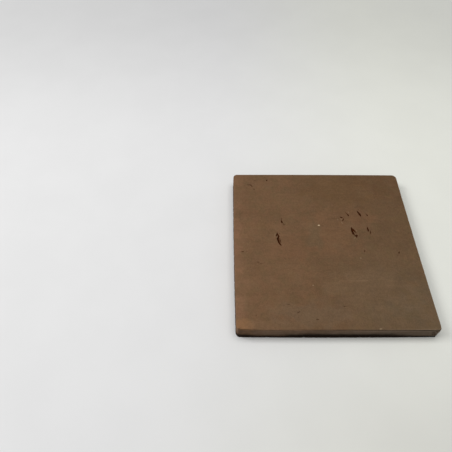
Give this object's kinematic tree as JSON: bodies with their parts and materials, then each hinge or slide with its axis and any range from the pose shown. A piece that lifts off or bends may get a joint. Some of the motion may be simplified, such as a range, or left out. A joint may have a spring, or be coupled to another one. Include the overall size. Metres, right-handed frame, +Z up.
{
  "type": "terracotta floor tile",
  "caption": "Square handmade terracotta floor tile with bowed sides, rounded corners and edges, open pits in the walking face, a worn front edge and a hollow low on the front side.",
  "frame": {"origin": "middle of the tile's box, on the underside", "axes": "+Z up out of the walking face, +X to the right along the front side, +Y from the front side to the back"},
  "size_m": [0.198, 0.1999, 0.018],
  "materials": {
    "fired_clay": "matte"
  },
  "bodies": {
    "root": {"tile": "fired_clay"}
  },
  "joints": []
}
